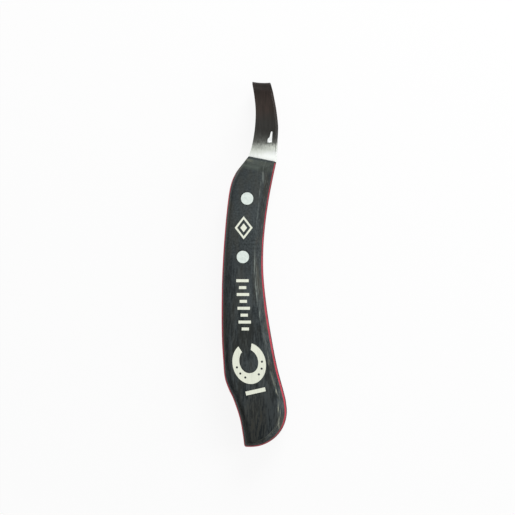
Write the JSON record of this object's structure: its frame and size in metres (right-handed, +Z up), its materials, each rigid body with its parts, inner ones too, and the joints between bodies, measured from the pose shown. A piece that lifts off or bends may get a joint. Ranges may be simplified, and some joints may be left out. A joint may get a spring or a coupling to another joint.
{
  "type": "loop hoof knife",
  "caption": "Farrier's loop hoof knife: a steel strip bent into a closed cutting loop, riveted into a curved laminated-wood handle with veneer lines along its edge.",
  "frame": {"origin": "under the middle of the knife's plan box, on the surface that its lower face rests on", "axes": "+Y from the butt of the handle to the tip of the loop; +Z up through the handle's layers, square to its flat faces; +X to the right when the knife is seen from above with the loop ahead"},
  "size_m": [0.0356, 0.1994, 0.018],
  "materials": {
    "strip_steel": "dark tempered loop, ground bright towards the handle",
    "black_wood": "black dyed laminated wood, oiled satin",
    "core_wood": "dark dyed wood, satin",
    "red_veneer": "red dyed veneer, satin",
    "rivet_metal": "ground flush with the wood"
  },
  "bodies": {
    "root": {"loop_blade": "strip_steel", "handle_core": "core_wood", "upper_liner": "red_veneer", "lower_liner": "red_veneer", "upper_scale": "black_wood", "lower_scale": "black_wood", "front_rivet_barrel": "rivet_metal", "front_rivet_pin": "rivet_metal", "rear_rivet_barrel": "rivet_metal", "rear_rivet_pin": "rivet_metal"}
  },
  "joints": []
}
